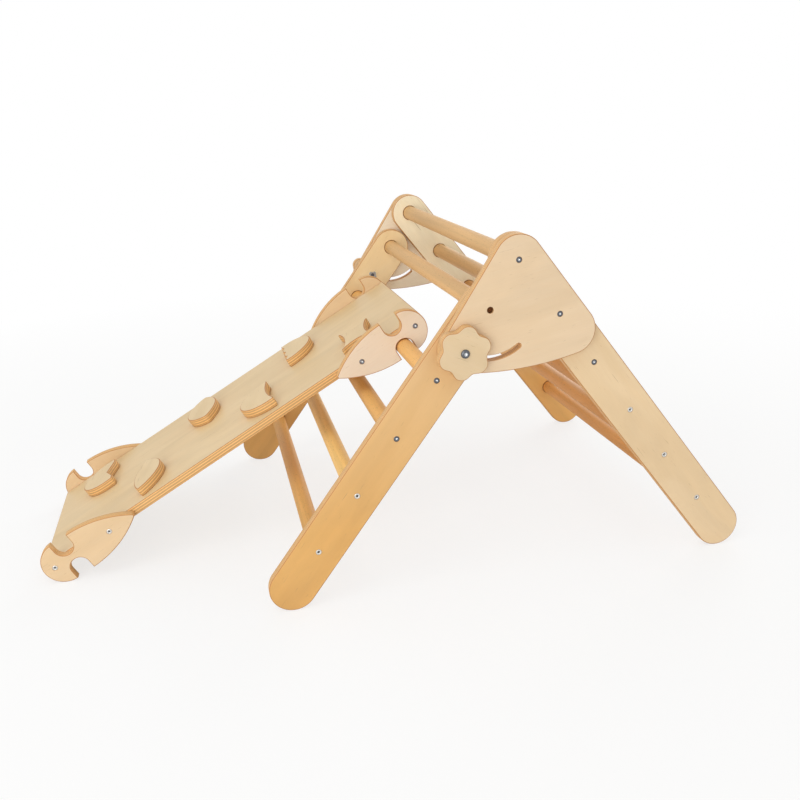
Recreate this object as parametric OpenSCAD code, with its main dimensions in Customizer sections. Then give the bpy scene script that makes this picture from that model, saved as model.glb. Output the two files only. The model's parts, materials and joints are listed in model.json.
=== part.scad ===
// Folding climbing triangle with a hook-on ramp.
//
// Two ladders of beech rungs in birch plywood rails meet at a pair of
// connector plates. The front ladder swings about the pivot rung, and a
// star knob on each side clamps it anywhere along a curved slot. The ramp
// hangs on the first front rung by hook plates and stands on the floor.
//
// Frame: +Z up, the ramp runs down towards -X, and the rungs lie along Y.
// Origin: on the floor, under the middle of the bounding box.
// "Right" is the -Y side and "left" the +Y side, seen from the ramp's foot.
// Outlines are drawn as [x, z] points of the side view.

/* [Ladders] */
// Distance between rungs, centre to centre
rung_pitch = 120; // [105:1:140]
// Clear width between the side rails
clear_w = 715; // [560:5:820]
// Diameter of a rung
rung_d = 32; // [28:1:36]
// Width of a side rail
rail_w = 84; // [76:1:92]
// Thickness of the plywood of rails, connector plates and hook plates
ply_t = 18; // [15:1:21]
// From the lowest rung to the centre of the rail's round foot
foot_reach = 80; // [60:1:110]
// Depth of the blind socket that holds a rung's end
socket_depth = 9; // [6:0.5:11]
// Radial clearance of a rung in its socket
socket_gap = 0.5; // [0.2:0.1:0.8]

/* [Fold] */
// Angle between the two ladders when open
open_angle = 74.5; // [66:0.5:80]
// How far the pivot lies below the top rung, along the rear rail
pivot_along = 33; // [26:1:40]
// Gap between the front and rear rails when folded flat
fold_gap = 3; // [1:0.5:6]
// From the pivot rung to the first rung of the front ladder
first_gap = 146; // [136:1:165]
// From the pivot to the knob's bolt, which is the slot's radius
knob_reach = 81; // [76:1:86]
// Width of the curved slot
slot_w = 9.5; // [9:0.1:11]
// Running clearance between pieces that slide on each other
slide_gap = 0.3; // [0.2:0.1:0.6]

/* [Connector plates] */
// How far the plate's lower rear corner lies beyond the second rung
plate_low = 38; // [32:1:50]
// Radius of the plate's corner behind the knob
plate_front_r = 38.5; // [34:0.5:42]
// Radius of the bowed lower edge of the plate
plate_belly_r = 560; // [400:10:900]
// Running clearance round the pivot screw's head
pivot_play = 0.6; // [0.4:0.1:1]
// Depth of the recess over the pivot screw's head
pivot_recess = 7; // [5:0.5:9]

/* [Knobs] */
// Thickness of a knob
knob_t = 18; // [15:1:24]
// Radius of a knob at the tips of its lobes
knob_r = 46; // [42:1:50]
// How far the valleys between the lobes lie inside the tips
knob_valley = 7.5; // [4:0.5:10]
// Number of lobes on a knob
knob_lobes = 6; // [5:1:8]
// Angle of the first lobe from the horizontal
knob_turn = 19; // [0:1:59]

/* [Ramp] */
// Length of the ramp board
board_len = 862; // [780:2:1000]
// Width of the ramp board
board_w = 356; // [280:2:440]
// Thickness of the ramp board
board_t = 18; // [15:1:21]
// How far the ramp is slid along its rung, away from the middle
ramp_shift = 48; // [0:1:60]
// Width of a hook plate, and twice the radius of its head
hook_w = 84; // [80:1:92]
// From the centre of the head to the centre of the notches
notch_off = 18; // [18:0.5:22]
// Clearance of the rung in a notch, on the radius
notch_gap = 2; // [1:0.5:3]
// Gap between the board and the rung that it rests on
board_gap = 0.3; // [0.2:0.1:0.5]
// Length of the tapered tail of a hook plate
tail_len = 124; // [100:1:140]
// Blunt end taken off the tip of the tail
tail_blunt = 3; // [2:0.5:6]
// From the outer end of the head to the first screw
hook_screw_in = 22; // [18:1:26]
// Distance between the two screws of a hook plate
hook_screw_pitch = 122; // [110:1:126]

/* [Climbing holds] */
// Thickness of the holds
hold_t = 18; // [12:1:24]
// Radius of the scalloped and of the notched disc
disc_r = 57; // [48:1:64]
// Radius of the bean
bean_r = 62; // [50:1:66]
// How far the straight side of the scalloped disc lies from its centre
shell_cut = 10; // [2:1:20]
// How far the hollow side of the bean lies from its centre
bean_cut = 9; // [2:1:20]
// How far the notched side of its disc lies from the centre
notched_cut = 18; // [8:1:26]
// Length of the egg from tip to tip
egg_len = 128; // [110:1:140]
// How far the egg bulges uphill from the line between its tips
egg_up = 27; // [20:1:40]
// How far the egg bulges downhill from that line
egg_down = 46; // [30:1:54]
// Length of the leaf from tip to tip
leaf_len = 136; // [110:1:144]
// How far the leaf bulges uphill from the line between its tips
leaf_up = 43; // [30:1:52]
// How far the leaf bulges downhill from that line
leaf_down = 18; // [12:1:30]
// Length of the pinched square's longer side
pinched_len = 92; // [80:1:100]
// Length of the pinched square's shorter side
pinched_w = 68; // [56:1:76]

/* [Hardware] */
// Head diameter of the connector screws
screw_head_d = 10; // [9:0.1:10.1]
// Shank diameter of the connector screws
screw_d = 5; // [4.5:0.1:6]
// Depth that a screw reaches into a rung's end or the board's edge
screw_bite = 34; // [28:1:40]
// Diameter of the knob's bolt
bolt_d = 8; // [7:0.1:8.4]
// Diameter of the bolt's button head
bolt_head_d = 15; // [13:0.5:18]
// Diameter of the tee nut's flange
tee_flange_d = 20; // [18:0.5:24]

/* [Hidden] */
REAR_RUNGS = 6;             // rungs of the rear ladder, two of them through the plates
FRONT_RUNGS = 4;            // rungs of the front ladder below the pivot rung

BIRCH = [0.90, 0.80, 0.67];
HONEY = [0.91, 0.72, 0.43];
BOARD = [0.88, 0.78, 0.62];
BEECH = [0.83, 0.62, 0.42];
STEEL = [0.62, 0.64, 0.67];

FINE = 96;                  // facets of large rounds
SMALL = 32;                 // facets of screws and bores
FIT = 0.1;                  // radial clearance of a screw in its hole
CUT = 1;                    // overshoot of a cut past the face that it opens
NIP = 0.01;                 // lets a line cross the round that it runs into
RIGHT = -1;                 // side factor of the -Y side
LEFT = 1;                   // side factor of the +Y side

// ---- the side view ----------------------------------------------------

rail_r = rail_w / 2;
pivot_off = rail_w + fold_gap;              // pivot to the rear rail's axis
rear_len = (REAR_RUNGS - 1) * rung_pitch + foot_reach;
front_len = first_gap + (FRONT_RUNGS - 1) * rung_pitch + foot_reach;

// Front foot in the rear rail's own axes: along it from the top rung, and across
front_foot_along = pivot_along + front_len * cos(open_angle);
front_foot_across = pivot_off + front_len * sin(open_angle);
// Both feet stand level, which gives the slopes of the ladders
rear_slope = atan2(front_foot_across, rear_len - front_foot_along);
front_slope = 180 - open_angle - rear_slope;

rear_dir = [cos(rear_slope), -sin(rear_slope)];
rear_side = [-sin(rear_slope), -cos(rear_slope)];
front_dir = [-cos(front_slope), -sin(front_slope)];

top_z = rear_len * sin(rear_slope) + rail_r;
pivot_raw = [0, top_z] + pivot_along * rear_dir + pivot_off * rear_side;
first_raw = pivot_raw + first_gap * front_dir;

// The ramp: its board lies on the first rung and its lower heads on the floor
head_r = hook_w / 2;
notch_r = rung_d / 2 + notch_gap;
mid_height = rung_d / 2 + board_gap + board_t / 2;   // rung's centre to the board's mid-plane
lower_head = board_len - hook_w - notch_off;          // rung to the lower heads, along the board
ramp_drop = first_raw[1] - head_r;
ramp_slope = asin(ramp_drop / norm([lower_head, mid_height])) + atan2(mid_height, lower_head);
ramp_up = [cos(ramp_slope), sin(ramp_slope)];
ramp_normal = [-sin(ramp_slope), cos(ramp_slope)];

// The origin lies under the middle of the whole length
x_low = (first_raw + mid_height * ramp_normal - lower_head * ramp_up)[0] - head_r;
x_high = rear_len * cos(rear_slope) + rail_r;
origin_shift = [-(x_low + x_high) / 2, 0];

top_rung = [0, top_z] + origin_shift;
pivot = pivot_raw + origin_shift;
first_rung = first_raw + origin_shift;
rear_foot = top_rung + rear_len * rear_dir;
front_foot = pivot + front_len * front_dir;
bolt_at = pivot + knob_reach * front_dir;
rear_rungs = [for (i = [0 : REAR_RUNGS - 1]) top_rung + i * rung_pitch * rear_dir];
front_rungs = [for (i = [0 : FRONT_RUNGS - 1]) first_rung + i * rung_pitch * front_dir];

// ---- layers across the width, each measured from the middle ------------

rear_in = clear_w / 2;                      // inner face of the rear rails
plate_in = rear_in + ply_t;                 // inner face of the connector plates
plate_out = plate_in + ply_t;
front_in = rear_in - slide_gap;             // inner face of the front rails
front_out = front_in + ply_t;
knob_in = plate_out + slide_gap;
knob_out = knob_in + knob_t;

// ---- helpers ------------------------------------------------------------

// A flat piece of thickness t, from the distance y_in outwards on one side
module slab(side, y_in, t)
    translate([0, side > 0 ? y_in + t : -y_in, 0])
        rotate([90, 0, 0]) linear_extrude(t) children();

// Puts a child on a side's face at distance y, with its +Z pointing inwards
module inward(side, y, p)
    translate([p[0], side * y, p[1]]) rotate([90 * side, 0, 0]) children();

// A strip with round ends between two points
module strip(p, q, w) {
    along = q - p;
    translate(p) circle(d = w, $fn = FINE);
    translate(q) circle(d = w, $fn = FINE);
    translate(p) rotate(atan2(along[1], along[0]))
        translate([0, NIP - w / 2]) square([norm(along), w - 2 * NIP]);
}

// The tangent point on a circle for the outer tangent from circle a to circle b,
// on the right-hand side of the way from a to b. The radii may differ.
function tangent(a, ra, b, rb, on_b) =
    let (way = b - a, dist = norm(way),
         turn = atan2(way[1], way[0]) - acos((ra - rb) / dist))
    (on_b ? b : a) + (on_b ? rb : ra) * [cos(turn), sin(turn)];

// A connector screw: countersunk head at z = 0, shank down to the given length
module screw(length) {
    head_h = (screw_head_d - screw_d) / 2;
    difference() {
        union() {
            cylinder(h = head_h, d1 = screw_head_d, d2 = screw_d, $fn = SMALL);
            cylinder(h = length, d = screw_d, $fn = SMALL);
        }
        translate([0, 0, -CUT]) cylinder(h = CUT + head_h, d = screw_d * 0.8, $fn = 6);
    }
}

// The hole for such a screw
module screw_hole(length) {
    wide = screw_head_d / 2 + FIT;
    narrow = screw_d / 2 + FIT;
    cylinder(h = wide - narrow, r1 = wide, r2 = narrow, $fn = SMALL);
    translate([0, 0, -CUT]) cylinder(h = CUT + length + FIT, r = narrow, $fn = SMALL);
    translate([0, 0, -CUT]) cylinder(h = CUT, r = wide, $fn = SMALL);
}

// Length of a screw whose head is at distance y, into a rung of half length h
function into_rung(y, half_rung) = y - half_rung + screw_bite;

// ---- connector plates and rear ladder ----------------------------------

plate_rear = top_rung + (rung_pitch + plate_low) * rear_dir;
plate_corners = [[top_rung, rail_r], [bolt_at, plate_front_r], [plate_rear, rail_r]];
plate_edge = (rail_r - NIP) * rear_side;

// Centre of the large circle that bows the lower edge from corner to corner
function belly_centre(a, ra, b, rb) =
    let (way = b - a, d = norm(way), u = way / d, n = [-u[1], u[0]],
         da = plate_belly_r - ra, db = plate_belly_r - rb,
         x = (d * d + da * da - db * db) / (2 * d))
    a + x * u + sqrt(da * da - x * x) * n;

module plate_outline() {
    belly = belly_centre(bolt_at, plate_front_r, plate_rear, rail_r);
    reach = 2 * plate_belly_r;
    for (c = plate_corners) translate(c[0]) circle(r = c[1], $fn = FINE);
    polygon([
        top_rung, tangent(top_rung, rail_r - NIP, bolt_at, plate_front_r - NIP, false),
        tangent(top_rung, rail_r - NIP, bolt_at, plate_front_r - NIP, true), bolt_at,
        plate_rear, plate_rear - plate_edge, top_rung - plate_edge
    ]);
    intersection() {
        translate(belly) circle(r = plate_belly_r - NIP, $fn = 8 * FINE);
        polygon([
            bolt_at, plate_rear,
            plate_rear + reach * (plate_rear - belly) / norm(plate_rear - belly),
            bolt_at + reach * (bolt_at - belly) / norm(bolt_at - belly)
        ]);
    }
}

// The curved slot, from the open position to the folded one
module slot_outline() {
    start = 180 + front_slope;
    ends = [start, start + open_angle];
    far = 2 * knob_reach;
    translate(pivot) {
        intersection() {
            difference() {
                circle(r = knob_reach + slot_w / 2, $fn = 2 * FINE);
                circle(r = knob_reach - slot_w / 2, $fn = 2 * FINE);
            }
            polygon(concat([[0, 0]],
                [for (i = [0 : 4]) let (a = start + open_angle * i / 4) far * [cos(a), sin(a)]]));
        }
        for (a = ends)
            translate(knob_reach * [cos(a), sin(a)]) circle(r = slot_w / 2 + NIP, $fn = SMALL);
    }
}

module connector_plate(side) {
    color(BIRCH) difference() {
        slab(side, plate_in, ply_t) difference() {
            plate_outline();
            slot_outline();
        }
        for (i = [0, 1]) inward(side, plate_out, rear_rungs[i]) screw_hole(ply_t + CUT);
        inward(side, plate_out, pivot) {
            translate([0, 0, -CUT])
                cylinder(h = CUT + pivot_recess, r = screw_head_d / 2 + pivot_play, $fn = SMALL);
            cylinder(h = ply_t + CUT, r = screw_d / 2 + slide_gap, $fn = SMALL);
        }
    }
}

// The blind socket of a rung, cut from the rail's inner face
module socket(side, y_in, p)
    inward(side, y_in + socket_depth, p)
        cylinder(h = socket_depth + CUT, r = rung_d / 2 + socket_gap, $fn = 2 * SMALL);

module rear_rail(side) {
    color(BIRCH) difference() {
        slab(side, rear_in, ply_t) strip(top_rung, rear_foot, rail_w);
        for (i = [0 : REAR_RUNGS - 1]) {
            socket(side, rear_in, rear_rungs[i]);
            if (i < 2)
                inward(side, plate_in + CUT, rear_rungs[i])
                    cylinder(h = ply_t + CUT, r = screw_d / 2 + FIT, $fn = SMALL);
            else
                inward(side, plate_in, rear_rungs[i]) screw_hole(ply_t);
        }
    }
}

// A rung with eased ends, drilled for the screw at each end
module rung(p, half_len) {
    ease = 1;
    color(BEECH) difference() {
        translate([p[0], half_len, p[1]]) rotate([90, 0, 0]) {
            translate([0, 0, ease])
                cylinder(h = 2 * (half_len - ease), d = rung_d, $fn = 2 * SMALL);
            for (z = [0, 2 * half_len - ease])
                translate([0, 0, z])
                    cylinder(h = ease, r1 = rung_d / 2 - (z == 0 ? ease : 0),
                             r2 = rung_d / 2 - (z == 0 ? 0 : ease), $fn = 2 * SMALL);
        }
        for (side = [RIGHT, LEFT]) inward(side, half_len + CUT, p)
            cylinder(h = CUT + screw_bite + FIT, r = screw_d / 2 + FIT, $fn = SMALL);
    }
}

rear_half = rear_in + socket_depth;         // half length of a rear rung
front_half = front_in + socket_depth;

module rear_rung(i) rung(rear_rungs[i], rear_half);

// A pair of screws into the two ends of a rung
module screw_pair(p, y, half_rung)
    color(STEEL) for (side = [RIGHT, LEFT])
        inward(side, y, p) screw(into_rung(y, half_rung));

module plate_screws()
    for (i = [0, 1]) screw_pair(rear_rungs[i], plate_out, rear_half);

module rear_rung_screws()
    for (i = [2 : REAR_RUNGS - 1]) screw_pair(rear_rungs[i], plate_in, rear_half);

// ---- front ladder -------------------------------------------------------

bolt_hole_r = bolt_d / 2 + slide_gap;
tee_flange_t = 1.2;
tee_barrel_d = bolt_d + 3;
tee_barrel_h = ply_t * 2 / 3;
tee_prong = [4, 1.2, 6];                    // width, thickness and depth of a prong
tee_prongs = 4;

// The four prongs of a tee nut, with room round them where a pocket is cut
module tee_prong_set(room) {
    size = tee_prong + [2, 2, 1] * room;
    for (i = [0 : tee_prongs - 1])
        rotate(45 + i * 360 / tee_prongs)
            translate([-size[0] / 2, tee_flange_d / 2 - 2 - size[1] / 2, -room])
                cube(size + [0, 0, room]);
}

module front_rail(side) {
    color(HONEY) difference() {
        slab(side, front_in, ply_t) strip(pivot, front_foot, rail_w);
        socket(side, front_in, pivot);
        inward(side, front_out + CUT, pivot)
            cylinder(h = ply_t + CUT, r = screw_d / 2 + FIT, $fn = SMALL);
        for (p = front_rungs) {
            socket(side, front_in, p);
            inward(side, front_out, p) screw_hole(ply_t);
        }
        inward(side, front_out + CUT, bolt_at)
            cylinder(h = ply_t + 2 * CUT, r = bolt_hole_r, $fn = SMALL);
        inward(-side, -front_in + CUT, bolt_at) {
            cylinder(h = tee_barrel_h + CUT + FIT, r = tee_barrel_d / 2 + FIT, $fn = SMALL);
            translate([0, 0, CUT]) tee_prong_set(FIT);
        }
    }
}

module front_rung(i) rung(front_rungs[i], front_half);

module pivot_rung() rung(pivot, front_half);

// The pivot screws sit at the bottom of the plates' recesses
module pivot_screws() {
    y = plate_out - pivot_recess + (screw_head_d - screw_d) / 2 + slide_gap;
    color(STEEL) for (side = [RIGHT, LEFT])
        inward(side, y, pivot) pan_screw(into_rung(y, front_half));
}

// A pivot screw: a flat-bottomed head, so that the plate turns on its shank
module pan_screw(length) {
    head_h = (screw_head_d - screw_d) / 2;
    difference() {
        union() {
            cylinder(h = head_h, d = screw_head_d, $fn = SMALL);
            cylinder(h = length, d = screw_d, $fn = SMALL);
        }
        translate([0, 0, -CUT]) cylinder(h = CUT + head_h / 2, d = screw_d * 0.8, $fn = 6);
    }
}

module front_rung_screws()
    for (p = front_rungs) screw_pair(p, front_out, front_half);

// The tee nut in the front rail's inner face that the knob's bolt screws into
module tee_nut(side) {
    color(STEEL) inward(-side, -front_in, bolt_at) difference() {
        union() {
            translate([0, 0, -tee_flange_t])
                cylinder(h = tee_flange_t, d = tee_flange_d, $fn = 2 * SMALL);
            cylinder(h = tee_barrel_h, d = tee_barrel_d, $fn = SMALL);
            tee_prong_set(0);
        }
        translate([0, 0, -tee_flange_t - CUT])
            cylinder(h = tee_flange_t + tee_barrel_h + 2 * CUT, r = bolt_hole_r, $fn = SMALL);
        for (i = [0 : tee_prongs - 1])
            rotate(i * 360 / tee_prongs)
                translate([tee_flange_d / 2 + 0.5, 0, -tee_flange_t - CUT])
                    cylinder(h = tee_flange_t + CUT, d = 5, $fn = SMALL);
    }
}

// ---- knobs ----------------------------------------------------------------

knob_points = 180;                          // points round the knob's wavy edge

// The edge swings between tips and valleys as a cosine, with broad lobes
function knob_edge(a) =
    let (wave = (1 + cos(knob_lobes * (a - knob_turn))) / 2)
    knob_r - knob_valley * pow(1 - wave, 1.4);

module knob_disc(side) {
    color(BIRCH) difference() {
        slab(side, knob_in, knob_t)
            translate(bolt_at)
                polygon([for (i = [0 : knob_points - 1])
                    let (a = 360 * i / knob_points) knob_edge(a) * [cos(a), sin(a)]]);
        inward(side, knob_out + CUT, bolt_at)
            cylinder(h = knob_t + 2 * CUT, r = bolt_d / 2 + FIT, $fn = SMALL);
    }
}

// Button-head bolt through the knob, the slot and the rail, into the tee nut
module knob_bolt(side) {
    head_h = bolt_d / 2;
    head_rim = 1;
    length = knob_out - front_in;
    color(STEEL) inward(side, knob_out, bolt_at) difference() {
        union() {
            cylinder(h = length, d = bolt_d, $fn = SMALL);
            translate([0, 0, -head_rim]) cylinder(h = head_rim, d = bolt_head_d, $fn = SMALL);
            translate([0, 0, -head_h])
                cylinder(h = head_h - head_rim, d1 = bolt_head_d * 0.6, d2 = bolt_head_d, $fn = SMALL);
        }
        translate([0, 0, -head_h - CUT]) cylinder(h = head_h, d = bolt_d * 0.7, $fn = 6);
    }
}

// ---- ramp -------------------------------------------------------------------

// The ramp's own axes: origin at the centre of its rung, +X uphill along the
// board, +Z off the board's upper face, at the ramp's place along the rung
module on_ramp()
    translate([first_rung[0], ramp_shift, first_rung[1]]) rotate([0, -ramp_slope, 0]) children();

board_top = mid_height + board_t / 2;
board_high = notch_off + head_r;            // upper end of the board
board_half = board_w / 2;

// A hook plate in its own axes: origin at the head's centre, +X to the tail,
// +Y off the board. Its round head and its leaf-shaped body have a U notch
// above and below, so that the ramp hooks on either way up.
belly_x = notch_off + notch_r;              // the notches' far side, where the body tapers
tail_x = belly_x + tail_len;
tail_r = (tail_len * tail_len + head_r * head_r) / hook_w;

module hook_outline() {
    difference() {
        union() {
            circle(r = head_r, $fn = FINE);
            translate([0, -mid_height]) square([belly_x, 2 * mid_height]);
            intersection() {
                translate([belly_x, head_r - tail_r]) circle(r = tail_r, $fn = 3 * FINE);
                translate([belly_x, tail_r - head_r]) circle(r = tail_r, $fn = 3 * FINE);
                translate([notch_off, -head_r]) square([notch_r + tail_len - tail_blunt, hook_w]);
            }
        }
        for (up = [-1, 1]) {
            translate([notch_off, up * mid_height]) circle(r = notch_r + NIP, $fn = FINE);
            translate([notch_off - notch_r, up > 0 ? mid_height : -2 * head_r])
                square([2 * notch_r, 2 * head_r - mid_height]);
        }
    }
}

hook_screws_at = [hook_screw_in - head_r, hook_screw_in - head_r + hook_screw_pitch];

// Places a child at a hook plate: upper or lower end, right or left side
module at_hook(upper)
    translate([upper ? notch_off : -lower_head, 0, mid_height])
        mirror([upper ? 1 : 0, 0, 0]) children();

module hook_plate(upper, side) {
    color(BIRCH) on_ramp() at_hook(upper) difference() {
        slab(side, board_half, ply_t) hook_outline();
        for (x = hook_screws_at) inward(side, board_half + ply_t, [x, 0]) screw_hole(ply_t + CUT);
    }
}

module hook_screws()
    color(STEEL) on_ramp() for (upper = [true, false], side = [RIGHT, LEFT], x = hook_screws_at)
        at_hook(upper) inward(side, board_half + ply_t, [x, 0]) screw(ply_t + screw_bite);

module ramp_board() {
    color(BOARD) on_ramp() difference() {
        translate([board_high - board_len, -board_half, mid_height - board_t / 2])
            cube([board_len, board_w, board_t]);
        for (upper = [true, false], side = [RIGHT, LEFT], x = hook_screws_at)
            at_hook(upper) inward(side, board_half + CUT, [x, 0])
                cylinder(h = CUT + screw_bite + FIT, r = screw_d / 2 + FIT, $fn = SMALL);
    }
}

// ---- climbing holds ---------------------------------------------------------

// Places an outline on the board, with its +X side towards the ramp's upper end
module on_board(place, turn) {
    color(BIRCH) on_ramp()
        translate([board_high - place[0] * board_len, place[1] * board_half, board_top])
            rotate(turn) linear_extrude(hold_t) children();
}

// A disc cut straight at a distance from its centre, on the -X side
module cut_disc(r, cut)
    intersection() {
        circle(r = r, $fn = FINE);
        translate([-cut, -2 * r]) square([2 * r, 4 * r]);
    }

// The shell: three shallow scallops in the straight side
module shell_outline() {
    bite = disc_r / 7;
    difference() {
        cut_disc(disc_r, shell_cut);
        for (i = [-1 : 1]) translate([-shell_cut - bite / 2, i * 4 * bite])
            circle(r = bite, $fn = SMALL);
    }
}

// The bean: one long hollow instead of the straight side
module bean_outline() {
    hollow_r = 3 * bean_r;
    depth = bean_r / 8;
    difference() {
        cut_disc(bean_r, bean_cut);
        translate([depth - bean_cut - hollow_r, 0]) circle(r = hollow_r, $fn = 2 * FINE);
    }
}

// The notched disc: a wide wedge cut into the straight side
module notched_outline() {
    mouth = 0.72 * disc_r;
    depth = 0.27 * disc_r;
    difference() {
        cut_disc(disc_r, notched_cut);
        polygon([
            [-notched_cut - CUT, -mouth], [depth - notched_cut, 0],
            [-notched_cut - CUT, mouth]
        ]);
    }
}

// A lens from tip to tip along Y, with its two sides bulging unequally
module lens(length, bulge_up, bulge_down) {
    half = length / 2;
    blunt = 2;
    for (b = [[bulge_up, 1], [bulge_down, -1]]) {
        r = (half * half + b[0] * b[0]) / (2 * b[0]);
        intersection() {
            translate([b[1] * (b[0] - r), 0]) circle(r = r, $fn = 2 * FINE);
            translate([b[1] > 0 ? 0 : -half, blunt - half]) square([half, 2 * (half - blunt)]);
        }
    }
}

// The pinched square: a rectangle with a round bite in each side
module pinched_outline() {
    bite = 2 * pinched_w;
    depth = pinched_w / 7;
    difference() {
        square([pinched_w, pinched_len], center = true);
        for (s = [-1, 1]) {
            translate([s * (pinched_w / 2 + bite - depth), 0]) circle(r = bite, $fn = 2 * FINE);
            translate([0, s * (pinched_len / 2 + bite / 4)]) circle(r = bite / 4 + depth, $fn = FINE);
        }
    }
}

// Each hold's place: distance down the board as a share of its length, and
// distance from the middle as a share of its half width
pinched_at = [0.145, -0.58];
shell_at = [0.305, 0.38];
bean_at = [0.389, -0.528];
egg_at = [0.552, 0.376];
leaf_at = [0.731, -0.52];
notched_at = [0.848, 0.377];

module hold_pinched() on_board(pinched_at, -6) pinched_outline();
module hold_shell() on_board(shell_at, 0) shell_outline();
module hold_bean() on_board(bean_at, 182) bean_outline();
module hold_egg() on_board(egg_at, 0) lens(egg_len, egg_up, egg_down);
module hold_leaf() on_board(leaf_at, -6) lens(leaf_len, leaf_up, leaf_down);
module hold_notched() on_board(notched_at, 180) notched_outline();

// ---- the nodes ----------------------------------------------------------------

connector_plate(RIGHT);  // connector_plate_right
connector_plate(LEFT);  // connector_plate_left
rear_rail(RIGHT);  // rear_rail_right
rear_rail(LEFT);  // rear_rail_left
rear_rung(0);  // rear_rung_1
rear_rung(1);  // rear_rung_2
rear_rung(2);  // rear_rung_3
rear_rung(3);  // rear_rung_4
rear_rung(4);  // rear_rung_5
rear_rung(5);  // rear_rung_6
plate_screws();
rear_rung_screws();
front_rail(RIGHT);  // front_rail_right
front_rail(LEFT);  // front_rail_left
pivot_rung();
front_rung(0);  // front_rung_1
front_rung(1);  // front_rung_2
front_rung(2);  // front_rung_3
front_rung(3);  // front_rung_4
pivot_screws();
front_rung_screws();
tee_nut(RIGHT);  // tee_nut_right
tee_nut(LEFT);  // tee_nut_left
knob_disc(RIGHT);  // knob_disc_right
knob_disc(LEFT);  // knob_disc_left
knob_bolt(RIGHT);  // knob_bolt_right
knob_bolt(LEFT);  // knob_bolt_left
ramp_board();
hook_plate(true, RIGHT);  // hook_upper_right
hook_plate(true, LEFT);  // hook_upper_left
hook_plate(false, RIGHT);  // hook_lower_right
hook_plate(false, LEFT);  // hook_lower_left
hook_screws();
hold_pinched();
hold_shell();
hold_bean();
hold_egg();
hold_leaf();
hold_notched();
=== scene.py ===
"""Oiled plywood and beech looks for a folding climbing triangle with a hook-on ramp.

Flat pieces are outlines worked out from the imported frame, carried round an eased edge profile.
Round pieces are profiles turned about an axis. Every length is in metres.
"""

import json
import math
import zlib

import bpy
import numpy as np
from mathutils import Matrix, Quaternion, Vector, geometry


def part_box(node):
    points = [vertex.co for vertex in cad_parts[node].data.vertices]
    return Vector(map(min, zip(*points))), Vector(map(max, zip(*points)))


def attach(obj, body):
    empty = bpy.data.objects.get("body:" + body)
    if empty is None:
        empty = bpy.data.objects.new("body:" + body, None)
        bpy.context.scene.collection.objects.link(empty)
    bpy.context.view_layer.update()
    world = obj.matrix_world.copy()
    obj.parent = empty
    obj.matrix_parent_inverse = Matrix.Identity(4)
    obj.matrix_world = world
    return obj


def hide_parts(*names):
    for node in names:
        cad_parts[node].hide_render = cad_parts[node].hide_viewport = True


bl_info = {
    "name": "Folding climbing triangle",
    "version": (1, 0, 0),
    "blender": (4, 5, 0),
    "location": "View3D > Sidebar > Climber",
    "description": "Eased plywood plates, beech rungs, clamp knobs and a ramp with climbing holds",
    "category": "Object",
}

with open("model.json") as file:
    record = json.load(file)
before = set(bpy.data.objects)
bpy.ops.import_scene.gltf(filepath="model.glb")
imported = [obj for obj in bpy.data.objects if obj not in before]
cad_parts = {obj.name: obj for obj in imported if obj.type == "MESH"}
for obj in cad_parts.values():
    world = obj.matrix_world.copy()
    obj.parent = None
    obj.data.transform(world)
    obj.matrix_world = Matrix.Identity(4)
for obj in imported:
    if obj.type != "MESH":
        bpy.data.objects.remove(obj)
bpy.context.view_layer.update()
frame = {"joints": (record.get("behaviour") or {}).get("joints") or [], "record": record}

RIGHT, LEFT = -1, 1  # side factors of the -Y and the +Y side
SIDES = (("right", RIGHT), ("left", LEFT))
TAU = 2 * math.pi


# ---- what the frame says ----


def corners(node):
    """Lowest and highest corner of a CAD node."""
    low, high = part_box(node)
    return np.array(low), np.array(high)


def middle(node):
    """Centre of a CAD node's box in the side view, as (x, z)."""
    low, high = corners(node)
    return ((low + high) / 2)[[0, 2]]


def joint(name):
    """The frame's entry for a joint."""
    return next(j for j in frame["joints"] if j["name"] == name)


def joint_at(name):
    """A joint's place in the side view, as (x, z)."""
    return np.array(joint(name)["pos_m"])[[0, 2]]


def layer(node, side):
    """Distances of a side piece's inner and outer face from the middle."""
    low, high = corners(node)
    return (low[1], high[1]) if side == LEFT else (-high[1], -low[1])


def unit(vector):
    return vector / np.linalg.norm(vector)


REAR_RUNGS = [middle(f"rear_rung_{i}") for i in range(1, 7)]
FRONT_RUNGS = [middle(f"front_rung_{i}") for i in range(1, 5)]
TOP = REAR_RUNGS[0]
PIVOT = joint_at("fold")
HOOKED = joint_at("ramp_swing")
BOLT = joint_at("knob_right_turn")
RAIL_LOW, RAIL_HIGH = corners("rear_rail_right")
RAIL_R = RAIL_HIGH[2] - TOP[1]
REAR_DIR = unit(REAR_RUNGS[5] - TOP)
REAR_FOOT = np.array([RAIL_HIGH[0] - RAIL_R, RAIL_R])
FRONT_FOOT = np.array([corners("front_rail_right")[0][0] + RAIL_R, RAIL_R])
PLY = RAIL_HIGH[1] - RAIL_LOW[1]
SOCKET = 0.009  # depth of the rungs' blind sockets
LAYER = PLY / 7  # one visible layer of the plywood's edge

# The connector plate's corners, as the CAD model draws them
PLATE_FRONT_R = 0.0385
PLATE_BELLY_R = 0.560
PLATE_REACH = corners("connector_plate_right")[1][0] - RAIL_R - TOP[0]
PLATE_REAR = TOP + REAR_DIR * (PLATE_REACH / REAR_DIR[0])
SLOT_R = np.linalg.norm(BOLT - PIVOT)
SLOT_HALF = 0.00475
OPEN_ANGLE = math.radians(joint("fold")["range_deg"][1])

# Radii of the bolts' bores through the rails, the knobs and the tee nuts
RAIL_BORE = 0.0044
KNOB_BORE = 0.0042
NUT_BORE = 0.0046

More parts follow.
